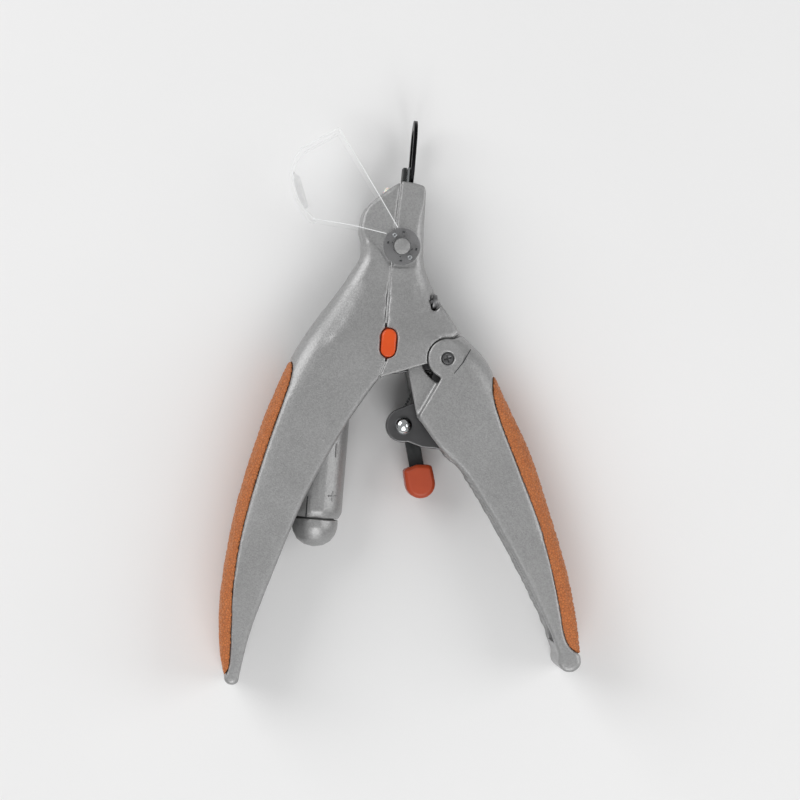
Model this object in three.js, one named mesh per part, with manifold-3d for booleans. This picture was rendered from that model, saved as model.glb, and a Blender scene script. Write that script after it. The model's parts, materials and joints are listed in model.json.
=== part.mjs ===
// Guillotine nail clipper for pets, lying on its rear side as it does on a table.
// Millimetres. +Z is the thickness, up from the table. +Y runs along the blade towards the ring.
// The origin is on the flat rear face, where the plane of the blade meets the line through the
// handle pivot. Every shape that is cut out along Z is the same seen from the front and the rear.
import * as THREE from "three";
import { mergeVertices } from "three/addons/utils/BufferGeometryUtils.js";
import Module from "manifold-3d";

const wasm = await Module();
wasm.setup();

// ---------- driving dimensions ----------
const THICK = 24; // whole clipper, front face to rear face
const MID = THICK / 2; // middle plane, where the blade, the lever and the battery lie
const WALL = 2.2; // moulded wall
const GAP = 0.3; // clearance between neighbouring pieces
const ROUND = 7; // width of the rounding along the outer sides, seen from the front
const ROUND_TIP = 1.5; // and at the tips of the handles
const INNER_ROUND = 1.4; // rounding along the inner sides of the handles
const SKIN = 2; // rubber on the outer side of a handle
const COVER = 1.5; // rubber on its front and rear faces
const FIXED_GRIP_TOP = -3; // the handles' cores end here, inside the tops of the grips
const MOVING_GRIP_TOP = -1.9;
const CROWN = 3.2; // how far the head is set back from the body's front face
const RAMP_LOW = 4; // the front face starts to slope back here (Y)
const RAMP_HIGH = 22; // and is at the head's level here
const POCKET = 0.6; // further step down under the hood's hub

const PIVOT_X = 15.7; // handle pivot, from the plane of the blade
const HUB_R = 6.1; // round ear of the moving handle
const BOSS_R = 5.6; // boss of the housing between the two ears
const PIN_R = 2.4; // pivot pin
const EAR_HOLE_R = 2.0; // recess that shows the pivot screw

const ARM = 25; // pivot to the tip of the lever that lifts the blade
const SQUEEZE = THREE.MathUtils.degToRad(28); // travel of the moving handle
// Tip of the lever with the handles open. Squeezing them lifts it to +6.05, a stroke of 12.1.
const TIP_Y = -ARM * Math.sin(SQUEEZE / 2);
const TIP_X = PIVOT_X - ARM * Math.cos(SQUEEZE / 2);

const RING_TOP = 73;
const RING_HALF = 7.2; // half width of the ring plate
const RING_THICK = 1.1;
const HOLE_HALF = 4.8; // half width of the nail hole
const HOLE_LOW = 58.1;
const SHANK_HALF = 5.4; // the ring's shank inside the head

const HOOD_X = -1.1; // axis of the magnifier hood
const HOOD_Y = 33.3;
const HOOD_R = 6.2; // hub disc of the hood
const HOOD_IN = 21.1; // inner face of the hood's front side panel
const HOOD_OUT = 22.5; // outer face
const HOOD_WALL = 1.4;

const LEVER_LOW = 10.2; // drive lever, Z range
const LEVER_HIGH = 16.2;
const RIVET = new THREE.Vector2(4.2, -21.7); // rivet of the safety latch
const LATCH_TILT = THREE.MathUtils.degToRad(14.7); // lie of the latch bar

const CELL_R = 5.8; // button cell of 11.6 x 5.4 mm
const CELL_H = 5.4;
const TUBE_X = -20.5; // axis of the battery tube
const TUBE_R = 8.1;
const TUBE_TOP = -19.5;
const TUBE_END = -52.4;

const BUTTON_X = -2.9; // light button, on the front face
const BUTTON_Y = 3.3;

// ---------- finishes ----------
const finish = (color, roughness, metalness) =>
  new THREE.MeshStandardMaterial({ color, roughness, metalness });
const SILVER = finish(0x9c9c9c, 0.45, 0.35);
const RUBBER = finish(0xd07840, 0.85, 0);
const BLACK_STEEL = finish(0x202022, 0.4, 0.7);
const BLACK_PLASTIC = finish(0x26282a, 0.7, 0);
const DIECAST = finish(0x4c4c4e, 0.35, 0.8);
const STEEL = finish(0xbfc2c4, 0.3, 1);
const CHROME = finish(0xe8e8ea, 0.1, 1);
const ORANGE = finish(0xd8551c, 0.3, 0);
const CLEAR = finish(0xf2f6f8, 0.05, 0);
CLEAR.transparent = true;
CLEAR.opacity = 0.3;
const GREEN_BOARD = finish(0x1f6b3a, 0.6, 0);
const WHITE_LAMP = finish(0xf6f4e6, 0.2, 0);
const COPPER = finish(0xb8452c, 0.6, 0);

// ---------- solids ----------
// A closed geometry as a manifold-3d solid.
function solid(geometry) {
  const bare = geometry.index ? geometry.toNonIndexed() : geometry.clone();
  bare.deleteAttribute("normal");
  bare.deleteAttribute("uv");
  const merged = mergeVertices(bare, 1e-3);
  const vertProperties = new Float32Array(merged.attributes.position.array);
  const triVerts = new Uint32Array(merged.index.array);
  const made = new wasm.Manifold(new wasm.Mesh({ numProp: 3, vertProperties, triVerts }));
  if (made.volume() > 0) return made;
  // A profile drawn the other way round has its faces pointing in: turn each one over.
  triVerts.reverse();
  return new wasm.Manifold(new wasm.Mesh({ numProp: 3, vertProperties, triVerts }));
}

// The solid of a box between two corners.
function box(x0, x1, y0, y1, z0, z1) {
  const geometry = new THREE.BoxGeometry(x1 - x0, y1 - y0, z1 - z0);
  geometry.translate((x0 + x1) / 2, (y0 + y1) / 2, (z0 + z1) / 2);
  return solid(geometry);
}

// The solid of a round rod between two points.
function rod(radius, from, to, sides = 18, radiusTo = radius) {
  const a = new THREE.Vector3(...from);
  const b = new THREE.Vector3(...to);
  const geometry = new THREE.CylinderGeometry(radiusTo, radius, a.distanceTo(b), sides);
  const turn = new THREE.Quaternion();
  turn.setFromUnitVectors(new THREE.Vector3(0, 1, 0), b.clone().sub(a).normalize());
  geometry.applyQuaternion(turn);
  geometry.translate((a.x + b.x) / 2, (a.y + b.y) / 2, (a.z + b.z) / 2);
  return solid(geometry);
}

// A flat outline in X and Y made into a slab between two heights, with rounded edges if asked.
function slab(outline, z0, z1, round = 0) {
  const shape = outline instanceof THREE.Shape ? outline : new THREE.Shape(outline);
  const geometry = new THREE.ExtrudeGeometry(shape, {
    depth: z1 - z0 - 2 * round,
    bevelEnabled: round > 0,
    bevelThickness: round,
    bevelSize: round,
    bevelOffset: -round,
    bevelSegments: 1,
    curveSegments: 6,
  });
  geometry.translate(0, 0, z0 + round);
  return solid(geometry);
}

// A slab across the whole thickness with soft edges. Each point of its outline is
// [x, y, width, depth], and the edge there is a quarter of an ellipse of that width and depth.
// The faces lie at faceOf(y) in front and at the same distance from the rear.
function pillow(points, faceOf) {
  const area = points.reduce((sum, [x, y], i) => {
    const [nextX, nextY] = points[(i + 1) % points.length];
    return sum + x * nextY - nextX * y;
  }, 0);
  const loop = area > 0 ? points : [...points].reverse();
  const inward = loop.map(([x, y], i) => {
    const before = loop[(i + loop.length - 1) % loop.length];
    const after = loop[(i + 1) % loop.length];
    return new THREE.Vector2(before[1] - after[1], after[0] - before[0]).normalize();
  });
  // One ring of points round the slab: `turn` runs from 0 on the side to 1 on the face.
  const ring = (turn, front, height) => loop.map(([x, y, width, depth], i) => {
    const angle = (turn * Math.PI) / 2;
    const inset = width * (1 - Math.cos(angle));
    const z = height ?? faceOf(y) - depth * (1 - Math.sin(angle));
    return [x + inward[i].x * inset, y + inward[i].y * inset, front ? z : THICK - z];
  });
  const steps = 4;
  const rings = [ring(1, false, THICK + 1)];
  for (let k = steps; k >= 0; k -= 1) rings.push(ring(k / steps, false));
  for (let k = 0; k <= steps; k += 1) rings.push(ring(k / steps, true));
  rings.push(ring(1, true, THICK + 1));
  const corners = [];
  rings.slice(1).forEach((upper, k) => upper.forEach((b, i) => {
    const lower = rings[k];
    const j = (i + 1) % upper.length;
    corners.push(...lower[i], ...lower[j], ...upper[j], ...lower[i], ...upper[j], ...b);
  }));
  const top = rings[rings.length - 1];
  const flat = top.map(([x, y]) => new THREE.Vector2(x, y));
  THREE.ShapeUtils.triangulateShape(flat, []).forEach(([a, b, c]) => {
    corners.push(...top[a], ...top[b], ...top[c]);
    corners.push(...rings[0][a], ...rings[0][c], ...rings[0][b]);
  });
  const geometry = new THREE.BufferGeometry();
  geometry.setAttribute("position", new THREE.Float32BufferAttribute(corners, 3));
  return solid(geometry);
}

// A slab and its twin on the other side of the middle plane.
function bothSides(outline, z0, z1) {
  return slab(outline, z0, z1).add(slab(outline, THICK - z1, THICK - z0));
}

// A solid of revolution about an axis parallel to Y, from (radius, y) points.
function turned(profile, x, z, sides = 22) {
  const geometry = new THREE.LatheGeometry(profile.map(([r, y]) => new THREE.Vector2(r, y)), sides);
  geometry.translate(x, 0, z);
  return solid(geometry);
}

// A round wire along a smooth route.
function wire(points, radius, steps, sides = 8) {
  const route = new THREE.CatmullRomCurve3(points.map((p) => new THREE.Vector3(...p)));
  const section = [];
  for (let i = 0; i < sides; i += 1) {
    const angle = (2 * Math.PI * i) / sides;
    section.push(new THREE.Vector2(radius * Math.cos(angle), radius * Math.sin(angle)));
  }
  return solid(
    new THREE.ExtrudeGeometry(new THREE.Shape(section), { steps, extrudePath: route }),
  );
}

// Points along a smooth curve, moved sideways to its left by a distance.
function rail(points, steps, aside = 0) {
  const curve = new THREE.SplineCurve(points.map(([x, y]) => new THREE.Vector2(x, y)));
  const made = [];
  for (let i = 0; i <= steps; i += 1) {
    const point = curve.getPoint(i / steps);
    const along = curve.getTangent(i / steps);
    made.push(new THREE.Vector2(point.x - along.y * aside, point.y + along.x * aside));
  }
  return made;
}

// Points on a circle, angles in degrees.
function arc(x, y, radius, from, to, steps) {
  const made = [];
  for (let i = 0; i <= steps; i += 1) {
    const angle = THREE.MathUtils.degToRad(from + ((to - from) * i) / steps);
    made.push(new THREE.Vector2(x + radius * Math.cos(angle), y + radius * Math.sin(angle)));
  }
  return made;
}

const at = (...pairs) => pairs.map(([x, y]) => new THREE.Vector2(x, y));
const joined = (solids) => solids.reduce((a, b) => a.add(b));

const clipper = new THREE.Group();

// A finished piece: a named mesh in the clipper.
function piece(name, made, material) {
  const mesh = made.getMesh();
  const geometry = new THREE.BufferGeometry();
  const count = mesh.vertProperties.length / mesh.numProp;
  const position = new Float32Array(count * 3);
  for (let i = 0; i < count; i += 1)
    for (let k = 0; k < 3; k += 1) position[3 * i + k] = mesh.vertProperties[mesh.numProp * i + k];
  geometry.setAttribute("position", new THREE.BufferAttribute(position, 3));
  geometry.setIndex(new THREE.BufferAttribute(new Uint32Array(mesh.triVerts), 1));
  geometry.computeVertexNormals();
  const part = new THREE.Mesh(geometry, material);
  part.name = name;
  clipper.add(part);
}

// ---------- outlines ----------
// Outer side of the fixed handle, from the neck down to its tip.
const FIXED_OUTER = [
  [-12.9, 29.5], [-16.1, 23.5], [-22.2, 13.6], [-28.3, 3.7], [-33, -6], [-36.5, -15.5],
  [-39.9, -26.6], [-45.3, -50.7], [-47.9, -76.7], [-47, -94], [-44.9, -102.6],
];
// Inner side of the fixed handle, from its tip up to the body.
const FIXED_INNER = [
  [-40.2, -102.2], [-37.8, -88], [-31.4, -66.5], [-24.6, -46.1], [-16.3, -27.8], [-10.1, -16.3],
  [-4.7, -7.5],
];
// Right flank of the body, from the pivot up to the head.
const RIGHT_FLANK = [
  [23.8, 4.5], [19.7, 7.9], [15.5, 13.4], [10.5, 20.1], [7.6, 25.6], [6, 31], [5.2, 48.7],
];
// Left side of the head, from its top down to the neck.
const HEAD_LEFT = [
  [-3.1, 53.3], [-7.7, 49.6], [-11.3, 46.3], [-13.7, 42.6], [-14.2, 37],
];
// Outer side of the moving handle, from the flank of the body down to its tip.
const MOVING_OUTER = [
  [15.5, 13.4], [19.7, 7.9], [23.8, 4.5], [29.2, -1.2], [36.7, -14], [44.6, -28], [52.3, -46.5],
  [58.2, -62], [62.3, -77], [64.6, -90],
];
// Inner side of the moving handle, from its tip up past the ledge.
const MOVING_INNER = [
  [57.5, -88.5], [52.7, -78.5], [40.5, -58.1], [27.5, -39.3], [21.9, -33], [15.8, -28],
  [8.1, -18.9], [0, -9.3],
];
// Rounding of each side at a height Y, as [width, depth].
const clamp = THREE.MathUtils.clamp;
const mapped = THREE.MathUtils.mapLinear;
const DEPTH = 0.8; // depth of a rounding, as a share of its width
function taper(y, tipY, fullY) {
  const width = clamp(mapped(y, tipY, fullY, ROUND_TIP, ROUND), ROUND_TIP, ROUND);
  return [width, width * DEPTH];
}
function fixedOuterRound(y) {
  if (y < 12) return taper(y, -103, -52);
  const width = mapped(y, 12, 30, ROUND, 3.5);
  return [width, width * DEPTH];
}
const movingOuterRound = (y) => taper(y, -90, -48);
function flankRound(y) {
  const width = y < 42 ? clamp(mapped(y, 16, 28, ROUND, 5), 5, ROUND) : mapped(y, 42, 49, 5, 2);
  return [width, width * mapped(y, 0, 50, DEPTH, 0.6)];
}
const headRound = () => [2.2, 1.8];
const innerRound = () => [INNER_ROUND, 1];
const withRound = (points, roundOf) => points.map(({ x, y }) => [x, y, ...roundOf(y)]);

// Height of the body's front face: it slopes back from the handles to the head.
function bodyFace(y) {
  const sloped = mapped(y, RAMP_LOW, RAMP_HIGH, THICK, THICK - CROWN);
  return clamp(sloped, THICK - CROWN, THICK);
}

// Inner edges of the rubber grips, from top to bottom.
const FIXED_GRIP_EDGE = [
  [-33.5, -2.2], [-31.6, -5.5], [-32.3, -12.3], [-37.7, -32.8], [-42.4, -54.8], [-44.3, -74],
  [-43.6, -92], [-43.8, -101], [-46.5, -105],
];
const MOVING_GRIP_EDGE = [
  [31.6, -1.4], [30.4, -4.4], [31.6, -13.5], [40.4, -32.2], [49.1, -50.8], [55.7, -71],
  [58.6, -82.5], [61.8, -86.7], [66.5, -88.6],
];

// Rear-to-front rise of the body along Y: everything above it is cut away.
function rampCut() {
  const reach = 80;
  const profile = at([RAMP_LOW, THICK], [RAMP_HIGH, THICK - CROWN], [reach, THICK - CROWN],
    [reach, THICK + 5], [RAMP_LOW, THICK + 5]);
  const geometry = new THREE.ExtrudeGeometry(new THREE.Shape(profile), {
    depth: 2 * reach, bevelEnabled: false,
  });
  // The profile's X and Y become Y and Z.
  geometry.applyMatrix4(new THREE.Matrix4().makeBasis(
    new THREE.Vector3(0, 1, 0), new THREE.Vector3(0, 0, 1), new THREE.Vector3(1, 0, 0)));
  geometry.translate(-reach, 0, 0);
  const front = solid(geometry);
  const rear = geometry.clone();
  rear.rotateY(Math.PI);
  rear.translate(0, 0, THICK);
  return front.add(solid(rear));
}

// Everything of the body that lies below its lower edge or inside the handle's round ear.
const EAR_SEAM = [
  ...at([-4.7, -7.4], [3, -4.6], [9.75, -1.95]),
  ...arc(PIVOT_X, 0, HUB_R + GAP, 197, 84, 14),
  ...at([18.2, 7.1], [19.3, 7.8], [45, 16]),
];

function bodyEnvelope() {
  const outline = [
    ...withRound(rail(FIXED_OUTER, 26), fixedOuterRound),
    ...withRound(arc(-42.5, -102.8, 2.5, 195, 330, 6), () => [ROUND_TIP, 1]),
    ...withRound(rail(FIXED_INNER, 16), innerRound),
    ...withRound(at([-1, -14], [30, -14], [30, -1]), innerRound),
    ...withRound(rail(RIGHT_FLANK, 12), flankRound),
    ...withRound(at([5, 51.2], [4.3, 52.6], [1.7, 53.2], [-2.4, 53.5]), () => [1, 1]),
    ...withRound(rail(HEAD_LEFT, 8).slice(1), headRound),
    ...withRound(at([-13.2, 34.2]), headRound),
  ];
  const below = [...EAR_SEAM, ...at([45, -45], [-1, -45], [-4.2, -7.6])];
  return pillow(outline, bodyFace).intersect(box(-90, 90, -120, 90, 0, THICK))
    .subtract(slab(below, -1, THICK + 1)).subtract(rampCut());
}

// The slightly lower field on both faces of the head, where the hood's hub turns.
function hoodPockets() {
  const field = [
    ...rail([[-18, 38.6], [-10.5, 33.9], [-7.3, 30.6], [-5, 27.5], [-1.1, 26.4], [3.5, 27.4],
      [9, 31]], 12),
    ...at([9, 60], [-18, 60]),
  ];
  return bothSides(field, THICK - CROWN - POCKET, THICK);
}

// The hollow inside the body and the open channel of the fixed handle.
function bodyHollow() {
  const low = [
    ...rail(FIXED_OUTER.slice(3), 14, WALL + SKIN - GAP),
    ...at([-39.5, -97], [-30, -97], [20, -40], [20, -8], [10, 6], [8, 9], [-21, 9]),
  ];
  const high = at([-20.5, 8], [-14.4, 20], [-10.8, 27.5], [3.2, 28], [4.8, 24.5], [8, 18.5],
    [12, 13], [8, 8]);
  const head = at([-10.2, 26], [-9.9, 31], [-11.2, 38], [-10.9, 42.4], [-9, 45.1], [-3, 50.3],
    [3, 50.3], [3.2, 26]);
  return joined([
    slab(low, WALL, THICK - WALL),
    slab(high, CROWN + 2, THICK - CROWN - 2),
    slab(head, 6.3, THICK - 6.3),
    box(-2.6, 1.4, 48, 56, 6.3, THICK - 6.3),
  ]);
}

// The core that a rubber grip is moulded around: all that lies inside the grip's outer skin.
function gripCore(outer, roundOf, skin, inside, cover) {
  const outline = [...withRound(rail(outer, 20, skin), roundOf), ...withRound(inside, innerRound)];
  return pillow(outline, () => THICK - cover)
    .intersect(box(-90, 90, -120, 90, cover, THICK - cover));
}

// The space that a rubber grip takes: all that lies outside its inner edge.
function gripField(edge, far) {
  return slab([...rail(edge, 24), ...far], -1, THICK + 1);
}

const FIXED_FAR = at([-70, -105], [-70, -2.2]);
const MOVING_FAR = at([90, -88.6], [90, 5], [40, 5]);
const FIXED_INSIDE = at([-20, -108], [0, -20], [0, 10]);
const MOVING_INSIDE = at([40, -100], [0, -30], [0, 20]);

// ---------- housing ----------
const envelope = bodyEnvelope();
const fixedGripSpace = gripField(FIXED_GRIP_EDGE, FIXED_FAR);

// The parting line between the two housing halves, as the half that lies to the left.
const SEAM = [
  [-2.6, 60], [-2.8, 53], [-3.9, 22], [-4.1, 9], [-3.2, -2], [-4.85, -7.3], [-5.6, -14],
];
function leftOfSeam(aside) {
  const line = SEAM.map(([x, y]) => new THREE.Vector2(x + aside, y));
  return slab([...line, ...at([-5.6 + aside, -120], [-80, -120], [-80, 60])], -1, THICK + 1);
}

function oval(width, height, x, y) {
  const half = (height - width) / 2;
  return [...arc(x, y + half, width / 2, 0, 180, 10), ...arc(x, y - half, width / 2, 180, 360, 10)];
}

// Shell of both housing halves before they are parted.
function shell() {
  const gripless = envelope.subtract(fixedGripSpace);
  const core = envelope.intersect(gripCore(FIXED_OUTER.slice(3), fixedOuterRound, SKIN, FIXED_INSIDE, COVER))
    .subtract(box(-60, 0, FIXED_GRIP_TOP, 20, -1, THICK + 1));
  return gripless.add(core).subtract(hoodPockets()).subtract(bodyHollow());
}

const tubeSaddle = (y) =>
  box(-44, TUBE_X + 2, y - 1, y + 1, WALL - 0.1, THICK - WALL + 0.1)
    .intersect(envelope.subtract(fixedGripSpace))
    .subtract(rod(TUBE_R + GAP, [TUBE_X, y - 5, MID], [TUBE_X, y + 5, MID], 32));

// Screws that hold the two housing halves together, and the ring.
const HOUSING_SCREWS = [[17.1, 18.6], [21.5, 5.4]];
const RING_SCREWS = [48.2, 40];
const flankX = (y) => 19.7 - (y - 7.9) * 0.755;

function screwWell(y, z) {
  return rod(3.4, [flankX(y) - 3.2, y, z], [30, y, z], 24).add(rod(1.5, [-12, y, z], [30, y, z], 16));
}

const wells = joined(HOUSING_SCREWS.map(([y, z]) => screwWell(y, z)));
const buttonHole = slab(oval(5.1, 9.3, BUTTON_X, BUTTON_Y), THICK - WALL - 1, THICK + 1);
const hoodBores = rod(1.8, [HOOD_X, HOOD_Y, 0], [HOOD_X, HOOD_Y, 5.9], 20)
  .add(rod(1.8, [HOOD_X, HOOD_Y, THICK - 5.9], [HOOD_X, HOOD_Y, THICK], 20));
const lampBore = rod(1.8, [-6.2, 44, MID], [-6.2, 56, MID], 20);

const halves = shell().subtract(buttonHole).subtract(wells).subtract(hoodBores).subtract(lampBore);

function leftHousing() {
  const bosses = joined(HOUSING_SCREWS.map(([y, z]) =>
    rod(2.6, [-16, y, z], [-4.3, y, z], 20).intersect(envelope).subtract(
      rod(1.4, [-14, y, z], [0, y, z], 16))));
  const bracket = box(-18, -14.2, -2, 8.4, 15.5, THICK - WALL + 0.1)
    .add(box(-15, -13.6, -2, 8.4, 15.5, 17.4));
  const flankRecess = slab(
    at([-15.2, 21.6], [-21.6, 11.7], [-25, 13.9], [-18.6, 23.8]), MID - 5, MID + 5);
  const left = halves.intersect(leftOfSeam(-GAP / 2));
  return joined([left, bosses, bracket, tubeSaddle(-25), tubeSaddle(-44)]).subtract(flankRecess);
}

function pivotBosses() {
  const disc = arc(PIVOT_X, 0, BOSS_R, 0, 345, 23);
  const web = at([11, 3], [15.7, 5.2], [17.3, 7.4], [18.6, 8.3], [12.4, 16], [8, 10]);
  const top = THICK - WALL - 0.4;
  return bothSides(disc, LEVER_HIGH + GAP, top)
    .add(bothSides(web, LEVER_HIGH + GAP, top))
    .subtract(rod(PIN_R + 0.15, [PIVOT_X, 0, -1], [PIVOT_X, 0, THICK + 1], 28));
}

function rightHousing() {
  const ringBoss = box(1.4, 4, 35.5, 50.6, 8.5, 15.5);
  const bosses = joined(HOUSING_SCREWS.map(([y, z]) =>
    rod(2.6, [-3.6, y, z], [flankX(y) - 3.2, y, z], 20).intersect(envelope).subtract(
      rod(1.5, [-6, y, z], [20, y, z], 16))));
  const ringHoles = joined(RING_SCREWS.map((y) =>
    rod(1.2, [0, y, MID], [8, y, MID], 16).add(rod(2.1, [4.2, y, MID], [8, y, MID], 20))));
  return joined([halves.subtract(leftOfSeam(GAP / 2)), pivotBosses(), ringBoss, bosses])
    .subtract(ringHoles);
}

function fixedGrip() {
  const edge = slab([...rail(FIXED_GRIP_EDGE, 14, -GAP), ...FIXED_FAR], -1, THICK + 1);
  const roomy = gripCore(FIXED_OUTER.slice(3), fixedOuterRound, SKIN - GAP, FIXED_INSIDE, COVER - GAP)
    .subtract(box(-60, 0, FIXED_GRIP_TOP + GAP, 20, -1, THICK + 1));
  return envelope.intersect(edge).subtract(roomy);
}

// ---------- moving handle ----------
const HANDLE_FIELD = [
  ...at([8.1, -18.9], [14.3, -5.95]),
  ...arc(PIVOT_X, 0, HUB_R, 256, 84, 20),
  ...at([18.1, 6.7], [19.4, 7.45], [45, 15], [90, 9], [90, -110], [50, -110], [4, -24]),
];
function handleEnvelope() {
  const outline = [
    ...withRound(arc(61, -89.8, 3.7, -10, -168, 8), () => [ROUND_TIP, 1]),
    ...withRound(rail(MOVING_INNER, 18), innerRound),
    ...withRound(at([0, 18], [12, 18]), innerRound),
    ...withRound(rail(MOVING_OUTER, 26), movingOuterRound),
  ];
  return pillow(outline, () => THICK).intersect(box(-90, 90, -120, 90, 0, THICK));
}
const movingEnvelope = handleEnvelope();
const movingGripSpace = gripField(MOVING_GRIP_EDGE, MOVING_FAR);
const LEVER_SCREWS = [[22.5, -13.5], [27.5, -23.5]];

// The set-back ledge that slides under the lower edge of the body.
const LEDGE = [
  ...arc(PIVOT_X, 0, 7.9, 248, 192, 8),
  ...at([3.4, -2.9], [7.9, -18.9], [11, -22], [15.5, -9.8]),
];

function movingHandle() {
  const hollow = [
    ...rail(MOVING_OUTER.slice(1), 16, -WALL - SKIN + GAP),
    ...at([59, -85], [52, -85], [0, -40], [0, 20], [19, 20]),
  ];
  const plates = movingEnvelope.intersect(slab(HANDLE_FIELD, -1, THICK + 1));
  const gripless = plates.subtract(movingGripSpace);
  const core = plates.intersect(gripCore(MOVING_OUTER, movingOuterRound, -SKIN, MOVING_INSIDE, COVER))
    .subtract(box(20, 60, MOVING_GRIP_TOP, 20, -1, THICK + 1));
  const root = at([8.6, -19.3], [14.5, -6.6], [15.8, -10.5], [11, -22]);
  const inner = THICK - WALL;
  const ledges = bothSides(LEDGE, inner - 2.2, inner - 0.5)
    .add(bothSides(root, inner - 1, inner + 0.1));
  const bosses = joined(LEVER_SCREWS.map(([x, y]) =>
    rod(3.3, [x, y, WALL - 0.1], [x, y, LEVER_LOW - GAP], 22)
      .add(rod(3.3, [x, y, LEVER_HIGH + GAP], [x, y, THICK - WALL + 0.1], 22))));
  const holes = joined([
    ...LEVER_SCREWS.map(([x, y]) => rod(1.7, [x, y, -1], [x, y, 20], 18)),
    ...LEVER_SCREWS.map(([x, y]) => rod(3, [x, y, -1], [x, y, 2], 22)),
    rod(EAR_HOLE_R, [PIVOT_X, 0, 20], [PIVOT_X, 0, THICK + 1], 24),
    rod(PIN_R + 0.15, [PIVOT_X, 0, 1], [PIVOT_X, 0, 3], 28),
    rod(3.9, [PIVOT_X, 0, -1], [PIVOT_X, 0, 1.5], 28),
  ]);
  const room = slab(hollow, WALL, THICK - WALL)
    .add(rod(HUB_R + GAP, [PIVOT_X, 0, WALL], [PIVOT_X, 0, THICK - WALL], 28));
  return joined([gripless.add(core).subtract(room), ledges, bosses]).subtract(holes);
}

function movingGrip() {
  const edge = slab([...rail(MOVING_GRIP_EDGE, 14, GAP), ...MOVING_FAR], -1, THICK + 1);
  const roomy = gripCore(MOVING_OUTER, movingOuterRound, GAP - SKIN, MOVING_INSIDE, COVER - GAP)
    .subtract(box(20, 60, MOVING_GRIP_TOP + GAP, 20, -1, THICK + 1));
  return movingEnvelope.intersect(edge).subtract(roomy);
}

// ---------- drive lever, latch and return spring ----------
function driveLever() {
  const arm = at([PIVOT_X - 2, -3.4], [PIVOT_X - 2, 3.2], [TIP_X, TIP_Y + 1.5], [TIP_X, TIP_Y - 1.5]);
  const tail = [
    ...arc(RIVET.x, RIVET.y, 5.3, 115, 290, 14),
    ...at([10, -27.9], [17, -28.3], [24, -29.5], [31.5, -26], [27, -16.5], [23, -9.6],
      [19.2, -3.5], [12.2, -3.6], [10.5, -10.5], [7.5, -14.2]),
  ];
  const low = LEVER_LOW;
  const high = LEVER_HIGH;
  return joined([
    slab(arm.reverse(), low, high),
    slab(tail, low, high),
    rod(5.2, [PIVOT_X, 0, low], [PIVOT_X, 0, high], 28),
    rod(2, [TIP_X, TIP_Y, low], [TIP_X, TIP_Y, high], 20),
  ]).subtract(joined([
    rod(PIN_R + 0.15, [PIVOT_X, 0, low - 1], [PIVOT_X, 0, high + 1], 28),
    rod(2.25, [RIVET.x, RIVET.y, low - 1], [RIVET.x, RIVET.y, high + 1], 24),
    ...LEVER_SCREWS.map(([x, y]) => rod(1.7, [x, y, low - 1], [x, y, high + 1], 18)),
  ]));
}

function latchRivet() {
  const seat = LEVER_HIGH + 0.2;
  const dome = [[0, seat], [2.8, seat], [2.7, 17.1], [2.1, 18], [1.1, 18.6], [0, 18.8]];
  const geometry = new THREE.LatheGeometry(dome.map(([r, z]) => new THREE.Vector2(r, z)), 20);
  geometry.rotateX(Math.PI / 2);
  geometry.translate(RIVET.x, RIVET.y, 0);
  return joined([
    solid(geometry),
    rod(2, [RIVET.x, RIVET.y, 3.4], [RIVET.x, RIVET.y, 17], 24),
    rod(3, [RIVET.x, RIVET.y, 3.2], [RIVET.x, RIVET.y, 4.4], 24),
  ]);
}

// A point on the latch: along its bar and to the right of it.
function onLatch(along, aside) {
  const c = Math.cos(LATCH_TILT);
  const s = Math.sin(LATCH_TILT);
  return [6.6 + along * s + aside * c, -21.7 - along * c + aside * s];
}

function latchBar() {
  const strip = at(onLatch(0, -2.25), onLatch(17, -2.25), onLatch(17, 2.25), onLatch(0, 2.25));
  return joined([
    slab(strip, 7.7, 9.9),
    rod(3.8, [RIVET.x, RIVET.y, 7.7], [RIVET.x, RIVET.y, 9.9], 28),
  ]).subtract(rod(2.25, [RIVET.x, RIVET.y, 7], [RIVET.x, RIVET.y, 11], 24));
}

function latchCap() {
  const outline = at(
    onLatch(12.2, 0), onLatch(12.9, -3.6), onLatch(13.4, -4.4), onLatch(18, -4.6));
  for (let angle = 165; angle >= 15; angle -= 15) {
    const a = THREE.MathUtils.degToRad(angle);
    outline.push(...at(onLatch(18.2 + 4.6 * Math.sin(a), 4.6 * Math.cos(a))));
  }
  outline.push(...at(onLatch(18, 4.6), onLatch(13.4, 4.4), onLatch(12.9, 3.6)));
  const socket = at(onLatch(10, -2.6), onLatch(17.4, -2.6), onLatch(17.4, 2.6), onLatch(10, 2.6));
  return slab(outline, 4.6, 14.4, 1).subtract(slab(socket, 7.3, 10.3));
}

// Torsion spring: a coil around the rivet, with one leg up to the body and one to the handle.
function returnSpring() {
  const points = [];
  const turns = 2.4;
  const perTurn = 12;
  const radius = 2.9;
  const pitch = 0.95;
  const first = 175; // degrees round the rivet where the upper leg meets the coil
  points.push([8.4, -4.6, 7.3], [6.3, -12.4, 7.3]);
  for (let i = 0; i <= turns * perTurn; i += 1) {
    const angle = THREE.MathUtils.degToRad(first - (360 * i) / perTurn);
    points.push([
      RIVET.x + radius * Math.cos(angle),
      RIVET.y + radius * Math.sin(angle),
      7.2 - (i / perTurn) * pitch,
    ]);
  }
  points.push([12, -24.6, 4.9], [18, -24, 4.9]);
  return wire(points, 0.4, 78, 6);
}

// ---------- ring, blade and its carrier ----------
// A slab from an outline in Z and Y, between two X.
function sheet(outline, x0, x1) {
  const geometry = new THREE.ExtrudeGeometry(new THREE.Shape(outline), {
    depth: x1 - x0, bevelEnabled: false,
  });
  geometry.applyMatrix4(new THREE.Matrix4().makeBasis(
    new THREE.Vector3(0, 0, -1), new THREE.Vector3(0, 1, 0), new THREE.Vector3(1, 0, 0)));
  geometry.translate(x0, 0, MID);
  return solid(geometry);
}

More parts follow.
